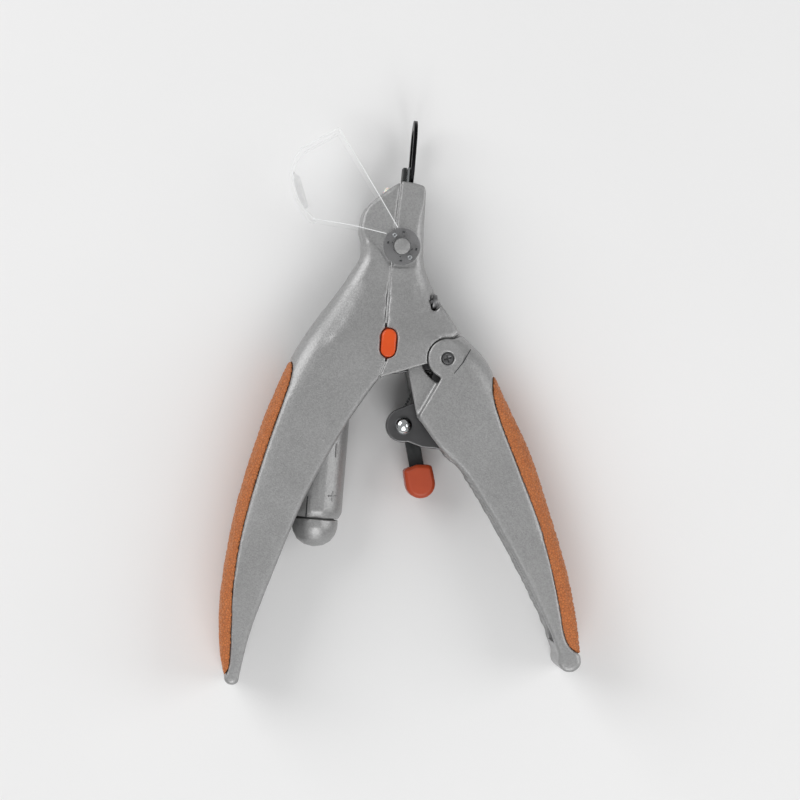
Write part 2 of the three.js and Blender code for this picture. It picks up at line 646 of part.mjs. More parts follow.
function guillotineRing() {
  const top = RING_TOP - RING_HALF;
  const outline = [
    ...at([-SHANK_HALF, 34], [SHANK_HALF, 34], [SHANK_HALF, 54.2], [RING_HALF, 57]),
    ...arc(0, top, RING_HALF, 0, 180, 20),
    ...at([-RING_HALF, 57], [-SHANK_HALF, 54.2]),
  ];
  const holeTop = 70.1 - HOLE_HALF;
  const hole = [
    ...at([-HOLE_HALF, HOLE_LOW], [HOLE_HALF, HOLE_LOW]),
    ...arc(0, holeTop, HOLE_HALF, 0, 180, 16),
  ];
  return sheet(outline, 0, RING_THICK)
    .subtract(sheet(hole, -1, RING_THICK + 1))
    .subtract(joined(RING_SCREWS.map((y) => rod(1.2, [-1, y, MID], [3, y, MID], 16))));
}

const BLADE_SCREWS = [31.2, 35.2];
function cuttingBlade() {
  const plate = sheet(at([-4.9, 29], [4.9, 29], [4.9, 58], [-4.9, 58]), -0.9, -0.3);
  const grind = solid(new THREE.BoxGeometry(2, 4, 14).rotateZ(-0.45).translate(-2.05, 58.3, MID));
  return plate.subtract(grind)
    .subtract(joined(BLADE_SCREWS.map((y) => rod(1.3, [-3, y, MID], [1, y, MID], 16))));
}

function bladeCarrier() {
  const half = 4.9; // half width of the plate that holds the blade
  const holder = sheet(
    at([-half, 26], [half, 26], [half, 57], [4.1, 57.9], [-4.1, 57.9], [-half, 57]), -2.2, -1.2);
  const stem = box(-8, -2, -2.2, 29, 9.4, 14.6);
  const bridge = box(-3.4, -1.2, 26.4, 29, 8.6, 15.4);
  const slot = 2.35; // half height of the slot that the lever's tip moves in
  const foot = slab(at(
    [-13.2, TIP_Y - 4.1], [-8.6, TIP_Y - 4.1], [-8.6, TIP_Y - slot], [-11.3, TIP_Y - slot],
    [-11.3, TIP_Y + slot], [-6.3, TIP_Y + slot], [-2.6, TIP_Y + 3.9], [-2.6, 6], [-13.2, 0.4]),
  8.6, 15.5);
  return joined([holder, stem, foot, bridge])
    .subtract(joined(BLADE_SCREWS.map((y) => rod(1.3, [-4, y, MID], [1, y, MID], 16))));
}

// A pan-head screw between two X: its head at `head`, its shank towards `end`.
function crossScrew(y, z, head, end, headR, shankR) {
  const way = Math.sign(end - head);
  const seat = head + way * 1.3;
  const low = Math.min(head - way, head + way * 0.7);
  const high = Math.max(head - way, head + way * 0.7);
  const reach = headR * 0.6;
  const thin = 0.25;
  const slot = box(low, high, y - reach, y + reach, z - thin, z + thin)
    .add(box(low, high, y - thin, y + thin, z - reach, z + reach));
  return rod(headR * 0.86, [head, y, z], [seat, y, z], 14, headR)
    .add(rod(shankR, [seat - way * 0.1, y, z], [end, y, z], 10)).subtract(slot);
}

// A screw that holds the drive lever, driven in from the rear of the handle.
function leverScrew([x, y]) {
  const slot = box(x - 1.6, x + 1.6, y - 0.3, y + 0.3, 0, 1.3)
    .add(box(x - 0.3, x + 0.3, y - 1.6, y + 1.6, 0, 1.3));
  return rod(2.7, [x, y, 0.6], [x, y, 1.9], 22).add(rod(1.4, [x, y, 1.8], [x, y, 19], 16))
    .subtract(slot);
}

// ---------- pivot and hood pins ----------
function pivotPin() {
  return joined([
    rod(3.6, [PIVOT_X, 0, 0], [PIVOT_X, 0, 1.2], 28),
    rod(PIN_R, [PIVOT_X, 0, 1], [PIVOT_X, 0, THICK - WALL - 0.4], 28),
  ]).subtract(rod(1.5, [PIVOT_X, 0, 12], [PIVOT_X, 0, THICK], 18));
}

function pivotScrew() {
  const slot = (turn) => solid(
    new THREE.BoxGeometry(2.4, 0.5, 1.6).rotateZ(turn).translate(PIVOT_X, 0, 23));
  return joined([
    rod(1.75, [PIVOT_X, 0, THICK - WALL + 0.1], [PIVOT_X, 0, 23.1], 24),
    rod(1.2, [PIVOT_X, 0, 13], [PIVOT_X, 0, THICK - WALL + 0.2], 18),
  ]).subtract(slot(0.35)).subtract(slot(0.35 + Math.PI / 2));
}

function hoodPin(side) {
  const z = (height) => MID + side * (height - MID);
  return joined([
    rod(2.45, [HOOD_X, HOOD_Y, z(HOOD_OUT + 0.2)], [HOOD_X, HOOD_Y, z(23.4)], 28),
    rod(1.5, [HOOD_X, HOOD_Y, z(18.3)], [HOOD_X, HOOD_Y, z(23)], 20),
  ]);
}

// ---------- magnifier hood ----------
// Outer edge of the hood from its top corner round to its lower corner.
const HOOD_EDGE = [
  [-23.6, 68.2], [-34.6, 60.8], [-36.4, 57.6], [-36.9, 54], [-36, 49.6], [-34.6, 45.8], [-32.4, 42.3],
  [-29.4, 39.2],
];
const WINDOW_FROM = 3; // the lens fills the edge between these corners
const WINDOW_TO = 6;

function magnifierHood() {
  const panel = [
    ...at([HOOD_X - 1.6, HOOD_Y + 5.9], [-9.9, 49.1]),
    ...at(...HOOD_EDGE),
    ...at([-16.2, 38.2], [HOOD_X - 4.9, HOOD_Y + 3.6]),
  ];
  const inner = HOOD_EDGE.map(([x, y]) => {
    const from = new THREE.Vector2(x - HOOD_X, y - HOOD_Y);
    return from.setLength(from.length() - HOOD_WALL).add(new THREE.Vector2(HOOD_X, HOOD_Y));
  });
  // The hood's edge wall between two corners, and between two heights.
  const wall = (a, b, z0, z1) =>
    slab([...at(...HOOD_EDGE.slice(a, b + 1)), ...inner.slice(a, b + 1).reverse()], z0, z1);
  const strip = (a, b) => wall(a, b, THICK - HOOD_OUT + 0.2, HOOD_OUT - 0.2);
  const frameBar = (z0, z1) => wall(WINDOW_FROM, WINDOW_TO, z0, z1);
  const hub = bothSides(arc(HOOD_X, HOOD_Y, HOOD_R, 0, 345, 23), HOOD_IN, HOOD_OUT);
  return joined([
    bothSides(panel, HOOD_IN, HOOD_OUT),
    strip(0, WINDOW_FROM),
    strip(WINDOW_TO, HOOD_EDGE.length - 1),
    frameBar(THICK - HOOD_OUT, 3.8),
    frameBar(THICK - 3.8, HOOD_OUT),
    hub,
  ]).subtract(rod(1.8, [HOOD_X, HOOD_Y, -1], [HOOD_X, HOOD_Y, THICK + 1], 20));
}

function magnifierLens() {
  const from = new THREE.Vector2(...HOOD_EDGE[WINDOW_FROM]);
  const to = new THREE.Vector2(...HOOD_EDGE[WINDOW_TO]);
  const along = to.clone().sub(from).normalize();
  const out = new THREE.Vector2(along.y, -along.x);
  const length = from.distanceTo(to);
  const corner = 0.8; // clear of the hood's upper corner
  const back = -1.9; // flat inner face of the lens
  const onSection = (distance, height) =>
    from.clone().addScaledVector(along, distance).addScaledVector(out, height);
  const section = [];
  const steps = 8;
  for (let i = 0; i <= steps; i += 1) {
    const t = i / steps;
    const bulge = 1.35 * (1 - (2 * t - 1) ** 2) - 0.35;
    section.push(onSection(corner + t * (length - corner - GAP), bulge));
  }
  section.push(onSection(length - GAP, back), onSection(corner + 2, back));
  return slab(section, 3.8 + GAP, THICK - 3.8 - GAP);
}

// ---------- light ----------
function batteryTube() {
  const shellProfile = [
    [0, TUBE_TOP], [TUBE_R - 1, TUBE_TOP], [TUBE_R, TUBE_TOP - 1], [TUBE_R, TUBE_END + 2],
    [7.1, TUBE_END], [6.2, TUBE_END], [6.2, TUBE_TOP - 2], [0, TUBE_TOP - 2],
  ];
  return turned(shellProfile, TUBE_X, MID, 24)
    .subtract(rod(0.9, [TUBE_X, TUBE_TOP - 4, MID], [TUBE_X, TUBE_TOP + 2, MID], 12));
}

const CELL_TOP = -27.6;
const buttonCell = (i) => {
  const top = CELL_TOP - i * (CELL_H + GAP);
  return turned([[0, top], [CELL_R - 1.4, top], [CELL_R - 1.2, top - 0.6], [CELL_R, top - 0.9],
    [CELL_R, top - CELL_H], [0, top - CELL_H]], TUBE_X, MID, 20);
};

function batterySpring() {
  const points = [];
  const turns = 3;
  const perTurn = 10;
  for (let i = 0; i <= turns * perTurn; i += 1) {
    const angle = (2 * Math.PI * i) / perTurn;
    const t = i / (turns * perTurn);
    const radius = 4.6 - 1.8 * t;
    const along = -23.2 - 3.7 * t;
    points.push([TUBE_X + radius * Math.cos(angle), along, MID + radius * Math.sin(angle)]);
  }
  return wire(points, 0.35, 42, 6);
}

const contactPlate = () => rod(5.8, [TUBE_X, -22.4, MID], [TUBE_X, -21.8, MID], 24);

function batteryCap() {
  const top = TUBE_END - GAP;
  const profile = [[0, top + 5], [5.7, top + 5], [5.7, top], [7.1, top], [7.1, top - 2.6],
    [6.6, top - 4.4], [5.3, top - 6.6], [3, top - 8.1], [0, top - 8.7]];
  return turned(profile, TUBE_X, MID, 24);
}

function lightButton() {
  return slab(oval(4.5, 8.7, BUTTON_X, BUTTON_Y), THICK - WALL - 0.4, THICK + 0.4, 0.4)
    .add(slab(oval(6.1, 10.3, BUTTON_X, BUTTON_Y), 20.9, 21.5));
}

const switchBoard = () => box(-13.9, 0.2, -1.8, 7.2, 17.7, 18.5);
const lightSwitch = () => box(-5.2, -0.6, 1, 5.6, 18.8, 19.8)
  .add(rod(1.2, [BUTTON_X, BUTTON_Y, 19.7], [BUTTON_X, BUTTON_Y, 20.2], 16));

function ledLamp() {
  const profile = [[0, 45.4], [1.7, 45.4], [1.7, 46.2], [1.45, 46.2], [1.45, 50], [1.1, 51],
    [0.6, 51.5], [0, 51.7]];
  return turned(profile, -6.2, MID, 20);
}

const batteryWire = () => wire(
  [[TUBE_X, -18.6, MID], [-21.5, -13, 14], [-20.5, -6, 17], [-15.2, -4.4, 19],
    [-11.6, -3.1, 19.4], [-9.6, -1, 19.5], [-8.6, 1, 19.4]], 0.5, 20, 6);
const lampWire = () => wire(
  [[-11.2, 5.2, 19.4], [-11.9, 7.4, 19.3], [-12.8, 9.2, 18.1], [-13.9, 11, 16.9], [-13.7, 14, 16],
    [-12.2, 18.5, 15], [-10.6, 23, 13.2], [-9.3, 28, 12.2], [-9.15, 32, MID], [-9.3, 37, MID], [-9, 41, MID],
    [-7.8, 43.6, MID], [-6.5, 44.7, MID]], 0.5, 34, 6);

// ---------- assembly ----------
piece("left_housing", leftHousing(), SILVER);
piece("right_housing", rightHousing(), SILVER);
piece("fixed_grip", fixedGrip(), RUBBER);
piece("guillotine_ring", guillotineRing(), BLACK_STEEL);
RING_SCREWS.forEach((y, i) =>
  piece(`ring_screw_${i + 1}`, crossScrew(y, MID, 5.5, 0.2, 1.8, 0.9), STEEL));
HOUSING_SCREWS.forEach(([y, z], i) =>
  piece(`housing_screw_${i + 1}`, crossScrew(y, z, flankX(y) - 1.5, -9, 2.6, 1.1), STEEL));
piece("pivot_pin", pivotPin(), STEEL);
piece("pivot_screw", pivotScrew(), BLACK_STEEL);
piece("hood_pin_front", hoodPin(1), SILVER);
piece("hood_pin_rear", hoodPin(-1), SILVER);
piece("battery_tube", batteryTube(), SILVER);
piece("contact_plate", contactPlate(), STEEL);
piece("battery_spring", batterySpring(), STEEL);
for (let i = 0; i < 3; i += 1) piece(`button_cell_${i + 1}`, buttonCell(i), CHROME);
piece("battery_cap", batteryCap(), SILVER);
piece("battery_wire", batteryWire(), COPPER);
piece("lamp_wire", lampWire(), COPPER);
piece("led_lamp", ledLamp(), WHITE_LAMP);
piece("switch_board", switchBoard(), GREEN_BOARD);
piece("light_switch", lightSwitch(), BLACK_PLASTIC);
piece("light_button", lightButton(), ORANGE);
piece("moving_handle", movingHandle(), SILVER);
piece("moving_grip", movingGrip(), RUBBER);
piece("drive_lever", driveLever(), DIECAST);
LEVER_SCREWS.forEach((place, i) => piece(`lever_screw_${i + 1}`, leverScrew(place), STEEL));
piece("latch_rivet", latchRivet(), CHROME);
piece("return_spring", returnSpring(), STEEL);
piece("latch_bar", latchBar(), BLACK_PLASTIC);
piece("latch_cap", latchCap(), ORANGE);
piece("blade_carrier", bladeCarrier(), BLACK_PLASTIC);
piece("cutting_blade", cuttingBlade(), STEEL);
BLADE_SCREWS.forEach((y, i) =>
  piece(`blade_screw_${i + 1}`, crossScrew(y, MID, -3.8, -0.4, 1.9, 1), STEEL));
piece("magnifier_hood", magnifierHood(), CLEAR);
piece("magnifier_lens", magnifierLens(), CLEAR);

export default clipper;
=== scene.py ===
# %% [markdown]
# # Guillotine nail clipper
# The clipper lies on its rear side on a table. Its frame comes ready made from the mechanical model:
# every screw, spring and shell is already there, at its real size and on its real joint. What is left
# to do here is what a toolmaker and a finisher would do: soften the moulded edges, press the pebble
# grain into the rubber, and give every piece the surface that its real material has.

import json
import math
from types import SimpleNamespace

import bmesh
import bpy
import numpy as np
from mathutils import Matrix, Vector, noise


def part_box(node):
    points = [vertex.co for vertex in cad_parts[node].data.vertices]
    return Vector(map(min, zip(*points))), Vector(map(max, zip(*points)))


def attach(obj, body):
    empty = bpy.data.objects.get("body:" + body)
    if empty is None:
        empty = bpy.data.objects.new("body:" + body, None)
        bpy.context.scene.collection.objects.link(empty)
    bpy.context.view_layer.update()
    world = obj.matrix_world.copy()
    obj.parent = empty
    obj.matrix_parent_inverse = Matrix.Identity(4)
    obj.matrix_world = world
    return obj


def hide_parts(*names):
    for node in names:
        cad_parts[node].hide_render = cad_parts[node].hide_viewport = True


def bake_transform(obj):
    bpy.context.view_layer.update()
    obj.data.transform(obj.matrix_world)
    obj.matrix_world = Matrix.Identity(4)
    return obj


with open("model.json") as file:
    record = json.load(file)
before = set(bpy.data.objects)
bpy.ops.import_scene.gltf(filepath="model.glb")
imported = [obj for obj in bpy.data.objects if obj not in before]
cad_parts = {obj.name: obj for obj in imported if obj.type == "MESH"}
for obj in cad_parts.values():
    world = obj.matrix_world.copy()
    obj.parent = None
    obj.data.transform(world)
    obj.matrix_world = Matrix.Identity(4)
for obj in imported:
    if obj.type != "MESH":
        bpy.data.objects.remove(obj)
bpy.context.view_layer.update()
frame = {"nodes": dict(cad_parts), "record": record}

# %% [markdown]
# Blender counts in metres, and a clipper is drawn in millimetres. A point helper keeps the numbers
# below in millimetres, so that they read like the ones on a workshop drawing. Blender could be told
# to show millimetres instead, but its scripts would still want metres.

# %% Millimetres
MM = 0.001


def point(x, y, z):
    return Vector((x, y, z)) * MM


print("one millimetre is", MM, "Blender units")

# %% [markdown]
# ## Camera
# The clipper is seen from straight above, turned a little clockwise, by a long lens that hardly shows
# any perspective. A long lens is made by moving the camera a metre away and narrowing its view, and
# it keeps the front and rear edges of a 24 mm thick body almost on top of each other.

# %% Camera
LEAN = math.radians(3.7)  # the camera stands a little to the left of straight above
ROLL = math.radians(4.7)  # the view is turned by this much
aim = point(2.8, -13.9, 12)
toward = Vector((-math.sin(LEAN), 0, math.cos(LEAN)))
up = Vector((-math.sin(ROLL), math.cos(ROLL), 0))
up = (up - toward * up.dot(toward)).normalized()
across = up.cross(toward)
lens = bpy.data.cameras.new("long_lens")
lens.lens = 145
lens.sensor_width = 36
camera = bpy.data.objects.new("camera", lens)
bpy.context.scene.collection.objects.link(camera)
VIEW_WIDTH = 0.2488  # metres of table across the view
distance = VIEW_WIDTH * lens.lens / lens.sensor_width
turn = Matrix((across, up, toward)).transposed().to_4x4()
camera.matrix_world = Matrix.Translation(aim + toward * distance) @ turn
bpy.context.scene.camera = camera
print("camera at", [round(v, 3) for v in camera.matrix_world.translation], "m")

# %% [markdown]
# ## Table and light
# Small goods are lit by large soft boxes over a sheet of white paper, so that plastic shows long
# soft highlights instead of hard dots. Area lamps are soft boxes, and the world stands for the white
# walls that fill the shadows. A point lamp would be simpler, but its shadow edge would be hard.

# %% Soft boxes and surroundings
world = bpy.data.worlds.new("white_walls")
world.use_nodes = True
walls = world.node_tree.nodes["Background"]
walls.inputs["Color"].default_value = (1, 1, 1, 1)
walls.inputs["Strength"].default_value = 0.36
bpy.context.scene.world = world
bpy.context.scene.view_settings.view_transform = "Standard"


# A rectangular lamp aimed at the clipper, from a place in metres.
def soft_box(name, place, width, height, watts):
    lamp = bpy.data.lights.new(name, "AREA")
    lamp.shape = "RECTANGLE"
    lamp.size = width
    lamp.size_y = height
    lamp.energy = watts
    made = bpy.data.objects.new(name, lamp)
    made.location = place
    made.rotation_euler = (aim - Vector(place)).to_track_quat("-Z", "Y").to_euler()
    bpy.context.scene.collection.objects.link(made)


soft_box("window_left", (-0.82, 0.42, 0.62), 0.8, 0.9, 6.5)
soft_box("reflector_right", (0.85, 0.1, 0.55), 0.6, 0.8, 3.2)
soft_box("window_front", (0.1, -0.95, 1.0), 0.9, 0.9, 8.0)

# %% [markdown]
# ## Colours and nodes
# Paint charts and screens give colours as sRGB hex values, while light is added up in linear values.
# One function turns the first into the second. One more adds a shader node with its settings and
# what feeds it, so that each finish below reads as a short list.


# %% Colour and node helpers
def linear(hex_value):
    channels = [int(hex_value[i:i + 2], 16) / 255 for i in (1, 3, 5)]
    return (*[c / 12.92 if c <= 0.04045 else ((c + 0.055) / 1.055) ** 2.4 for c in channels], 1)


def add(tree, kind, inputs=None, **settings):
    made = tree.nodes.new(kind)
    for name, value in settings.items():
        setattr(made, name, value)
    for name, value in (inputs or {}).items():
        if isinstance(value, bpy.types.NodeSocket):
            tree.links.new(value, made.inputs[name])
        else:
            made.inputs[name].default_value = value
    return made


print("mid grey in linear light:", [round(v, 3) for v in linear("#808080")])

# %% [markdown]
# ## What all finishes share
# No real surface has one colour and one gloss. Moulded plastic, rubber and plated steel all have soft
# patches of tone a few millimetres wide, a gloss that changes with handling, and a grain that the
# mould or the tool has left. A noise texture in object coordinates, scaled from a size in
# millimetres, draws each of the three. Image textures could do it too, but they need unwrapping.


# %% A finish with patches, changing gloss and grain
def finish(name, tones, patch, gloss, grain, depth, metallic=0.0, ior=None):
    """tones: darker and lighter hex colour, patch: their size in mm, gloss: lowest and highest
    roughness, grain: its size in mm, depth: its height in mm. A metal keeps the default IOR."""
    material = bpy.data.materials.new(name)
    material.use_nodes = True
    tree = material.node_tree
    shader = tree.nodes["Principled BSDF"]
    shader.inputs["Metallic"].default_value = metallic
    if ior:
        shader.inputs["IOR"].default_value = ior
    place = add(tree, "ShaderNodeTexCoord").outputs["Object"]
    patches = add(tree, "ShaderNodeTexNoise", {
        "Vector": place, "Scale": 1 / (patch * MM), "Detail": 4.0,
    })
    tone = add(tree, "ShaderNodeMix", {"Factor": patches.outputs["Fac"]}, data_type="RGBA")
    # A colour mix has sockets of other types too, so its own are found by type.
    for letter, value in zip("AB", tones):
        socket = [s for s in tone.inputs if s.name == letter and s.type == "RGBA"][0]
        socket.default_value = linear(value)
    mixed = [s for s in tone.outputs if s.type == "RGBA"][0]
    tree.links.new(mixed, shader.inputs["Base Color"])
    handled = add(tree, "ShaderNodeTexNoise", {
        "Vector": place, "Scale": 0.6 / (patch * MM), "Detail": 6.0,
    })
    rough = add(tree, "ShaderNodeMapRange", {
        "Value": handled.outputs["Fac"], "From Min": 0.3, "From Max": 0.7,
        "To Min": gloss[0], "To Max": gloss[1],
    })
    tree.links.new(rough.outputs["Result"], shader.inputs["Roughness"])
    grains = add(tree, "ShaderNodeTexNoise", {
        "Vector": place, "Scale": 1 / (grain * MM), "Detail": 3.0,
    })
    bump = add(tree, "ShaderNodeBump", {
        "Height": grains.outputs["Fac"], "Strength": 1.0, "Distance": depth * MM,
    })
    tree.links.new(bump.outputs["Normal"], shader.inputs["Normal"])
    return material, SimpleNamespace(tree=tree, shader=shader, place=place, mixed=mixed, bump=bump)


# Makes a finish darker or lighter where a mask runs from the first to the second value of span.
def toned(made, mask, span, factors):
    factor = add(made.tree, "ShaderNodeMapRange", {
        "Value": mask, "From Min": span[0], "From Max": span[1],
        "To Min": factors[0], "To Max": factors[1],
    })
    scaled = add(made.tree, "ShaderNodeVectorMath", {
        0: made.mixed, "Scale": factor.outputs["Result"],
    }, operation="SCALE")
    made.tree.links.new(scaled.outputs["Vector"], made.shader.inputs["Base Color"])


# Lays a second relief over a finish's grain, with its height in mm.
def embossed(made, height, depth, strength=1.0):
    relief = add(made.tree, "ShaderNodeBump", {
        "Height": height, "Normal": made.bump.outputs["Normal"],
        "Strength": strength, "Distance": depth * MM,
    })
    made.tree.links.new(relief.outputs["Normal"], made.shader.inputs["Normal"])


print("the finish helpers are ready")

# %% [markdown]
# ## Silver plastic
# The shells are ABS with aluminium flakes in the plastic, moulded in a spark-eroded mould. The flakes
# make the grey lean towards metal and glint in single white points where the surface turns to the
# lamp, and the mould's fine sand-like grain breaks every highlight up. The flakes are cells of a
# Voronoi texture, each a little lighter or darker. Real flakes are 0.05 mm wide, too fine to show,
# so they are drawn at 0.35 mm.

# %% Spark-eroded silver ABS
FLAKE = 0.35  # drawn width of a flake, in mm
silver_abs, made = finish(
    "silver_abs_spark_eroded", ("#989898", "#a3a3a3"), 9, (0.34, 0.42), 0.42, 0.09,
    metallic=0.5, ior=1.54)
flakes = add(made.tree, "ShaderNodeTexVoronoi", {"Vector": made.place, "Scale": 1 / (FLAKE * MM)})
bright = add(made.tree, "ShaderNodeSeparateColor", {"Color": flakes.outputs["Color"]})
toned(made, bright.outputs["Red"], (0.0, 1.0), (0.88, 1.12))
print("finish:", silver_abs.name)

# %% [markdown]
# ## Orange rubber
# The grips are thermoplastic rubber, moulded over the plastic and grained like soft leather. Rubber
# is dull, with a pale bloom where light grazes it. The pebbles themselves are pressed into the mesh
# further down. Here a Voronoi pattern of 0.75 mm adds the smaller wrinkles on top of them, with
# painted shade darkening their bottoms, and sheen gives the bloom.

# %% Pebbled thermoplastic rubber
WRINKLE = 0.75  # distance between wrinkles, in mm
rubber, made = finish(
    "orange_rubber_pebbled", ("#b4622f", "#cb7a40"), 1.6, (0.60, 0.76), 0.30, 0.05, ior=1.5)
wrinkles = add(made.tree, "ShaderNodeTexVoronoi", {
    "Vector": made.place, "Scale": 1 / (WRINKLE * MM),
}, feature="DISTANCE_TO_EDGE")
embossed(made, wrinkles.outputs["Distance"], 0.30)
# Painted shade: the bottoms of the wrinkles are darkened.
toned(made, wrinkles.outputs["Distance"], (0.0, 0.22), (0.62, 1.06))
made.shader.inputs["Sheen Weight"].default_value = 0.35
made.shader.inputs["Sheen Roughness"].default_value = 0.5
made.shader.inputs["Sheen Tint"].default_value = linear("#ffd9b8")
print("finish:", rubber.name)

# %% [markdown]
# ## Orange plastic
# The light's button is glossy ABS from a polished mould. Such a surface mirrors the soft boxes
# sharply, with only a faint orange-peel waviness about 1.5 mm long. The cap of the safety latch is
# the same plastic from a plainer mould, a little darker and satin, so that a thumb doesn't slip.

# %% Polished orange ABS
orange_abs, made = finish(
    "orange_abs_polished", ("#cf4610", "#de571b"), 6, (0.20, 0.30), 1.5, 0.01, ior=1.54)
latch_abs, made = finish(
    "orange_abs_satin", ("#a23a18", "#b44722"), 6, (0.38, 0.48), 0.5, 0.02, ior=1.54)
print("finishes:", orange_abs.name, latch_abs.name)

# %% [markdown]
# ## Black plastic
# The latch bar, the blade's carrier and the switch are nylon filled with glass fibre. The fibres end
# in the surface and leave a dull grain with small grey patches where they show through. The patches
# are the two tones of the finish, a little over a millimetre wide.

# %% Glass-filled black nylon
nylon, made = finish(
    "black_nylon_glass_filled", ("#191b1c", "#292c2d"), 1.2, (0.48, 0.66), 0.25, 0.03, ior=1.53)
print("finish:", nylon.name)

# %% [markdown]
# ## Die-cast zinc
# The drive lever is cast in zinc, tumbled with stones to take off its burrs, and left bare. Tumbling
# leaves the faces satin. Scratches from the tumbling are short and lie all ways, which fine noise shows
# well enough. The rim is painted lighter than the middle, a painted highlight where the edges catch
# the light, drawn from the mesh's pointiness, which is high on outward corners.

# %% Tumbled die-cast zinc
zinc_cast, made = finish(
    "zinc_die_cast_tumbled", ("#5c5c5d", "#6e6e6f"), 4, (0.30, 0.46), 0.6, 0.012, metallic=1.0)
corners = add(made.tree, "ShaderNodeNewGeometry")
# Painted highlight: the rim is lightened where the pointiness is high.
toned(made, corners.outputs["Pointiness"], (0.5, 0.58), (1.0, 1.6))
print("finish:", zinc_cast.name)

# %% [markdown]
# ## Steels
# Four steels are here. The guillotine ring is blackened by hot oxide, which is thin, dark and a
# little oily. The blade is ground, so it has fine parallel scratches across its length. Springs are
# drawn bright from wire. Screws and pins are plated with zinc, which is paler and slightly cloudy.

# %% Blackened, ground, drawn and plated steel
black_oxide, made = finish(
    "steel_black_oxide", ("#161617", "#232325"), 3, (0.28, 0.42), 0.3, 0.006, metallic=1.0)
spring_wire, made = finish(
    "steel_drawn_wire", ("#8f9193", "#a7a9ab"), 1, (0.24, 0.36), 0.2, 0.004, metallic=1.0)
zinc_plate, made = finish(
    "steel_zinc_plated", ("#9fa2a4", "#b9bcbe"), 1.5, (0.26, 0.40), 0.3, 0.006, metallic=1.0)
blade_steel, made = finish(
    "steel_ground_blade", ("#a9acae", "#c0c3c5"), 2, (0.16, 0.26), 0.4, 0.003, metallic=1.0)
GRINDING = (8000, 9000, 350)  # noise cells per metre: fewest in Z, so the scratches run that way
stretched = add(made.tree, "ShaderNodeMapping", {"Vector": made.place, "Scale": GRINDING})
scratches = add(made.tree, "ShaderNodeTexNoise", {
    "Vector": stretched.outputs["Vector"], "Scale": 1.0, "Detail": 2.0,
})
embossed(made, scratches.outputs["Fac"], 0.004, strength=0.8)
print("finishes:", black_oxide.name, spring_wire.name, zinc_plate.name, blade_steel.name)

# %% [markdown]
# ## Chrome and nickel
# The latch turns on a rivet with a domed chrome head, the one real mirror on the clipper. The button
# cells and the contact plate are nickel, a warmer and softer mirror with faint rolling marks.

# %% Chrome rivet and nickel cells
chrome, made = finish(
    "rivet_bright_chrome", ("#cfd2d4", "#dfe2e3"), 2, (0.06, 0.12), 0.8, 0.001, metallic=1.0)
nickel, made = finish(
    "nickel_rolled", ("#b3aea6", "#c6c1b8"), 3, (0.22, 0.34), 0.3, 0.004, metallic=1.0)
print("finishes:", chrome.name, nickel.name)

# %% [markdown]
# ## The small electrical parts
# The lamp is cast in milky epoxy, the switch stands on a green glass-fibre board whose weave shows
# through the lacquer, and the wires have soft PVC around them.

# %% Epoxy, board and wire insulation
THREAD = 0.5  # glass threads of the board, in mm
epoxy, made = finish(
    "lamp_milky_epoxy", ("#ece9d6", "#f7f5e8"), 1.5, (0.12, 0.20), 0.8, 0.004, ior=1.55)
made.shader.inputs["Subsurface Weight"].default_value = 0.3
made.shader.inputs["Subsurface Scale"].default_value = 0.001
pvc, made = finish("wire_red_pvc", ("#8e2d20", "#a5382a"), 2, (0.38, 0.50), 0.3, 0.01, ior=1.53)
board, made = finish(
    "board_green_lacquer", ("#1b5a33", "#246f40"), 1.2, (0.28, 0.40), 0.4, 0.01, ior=1.5)
# A wave texture repeats about every 0.31 units at a scale of one.
weave = add(made.tree, "ShaderNodeTexWave", {
    "Vector": made.place, "Scale": 0.31 / (THREAD * MM), "Distortion": 0.4,
})
embossed(made, weave.outputs["Fac"], 0.01, strength=0.4)
print("finishes:", epoxy.name, pvc.name, board.name)

# %% [markdown]
# ## Clear plastic
# The hood is water-clear polycarbonate. Seen face on it is nearly invisible, and seen along its wall
# it gathers light and turns white. Real refraction would need many light bounces and would darken the
# table under it, so the sheet is made mostly transparent instead, and more solid towards grazing
# angles with a layer weight.

# %% Water-clear polycarbonate
clear_pc, made = finish(
    "polycarbonate_clear", ("#f6f8f9", "#ffffff"), 12, (0.05, 0.11), 6, 0.01, ior=1.585)
grazing = add(made.tree, "ShaderNodeLayerWeight", {"Blend": 0.35})
solid_share = add(made.tree, "ShaderNodeMapRange", {
    "Value": grazing.outputs["Facing"], "From Min": 0.1, "From Max": 1.0,
    "To Min": 0.02, "To Max": 0.5,
})
made.tree.links.new(solid_share.outputs["Result"], made.shader.inputs["Alpha"])
print("finish:", clear_pc.name)

# %% [markdown]
# ## Shaded washer and white paper
# The washer under the hood's hub lies in the shade of the hub, so it reads as a darker grey. The table
# is a roll of matt white paper, with a fibre tooth too fine to notice but enough to stop it looking
# like a screen.

# %% Shaded washer and the paper
shade_abs, made = finish(
    "grey_abs_in_shade", ("#626263", "#707071"), 2, (0.55, 0.70), 0.3, 0.02, ior=1.54)
paper, made = finish(
    "paper_matt_white", ("#e9e9e9", "#ececec"), 60, (0.85, 0.95), 0.8, 0.02, ior=1.45)
made.shader.inputs["Specular IOR Level"].default_value = 0.1
print("finishes:", shade_abs.name, paper.name)

# %% [markdown]
# The paper itself is a sheet on the table that curves up far behind, as in a studio. A flat plane
# would do for this view, but seen from the side its far edge would cut across the background.

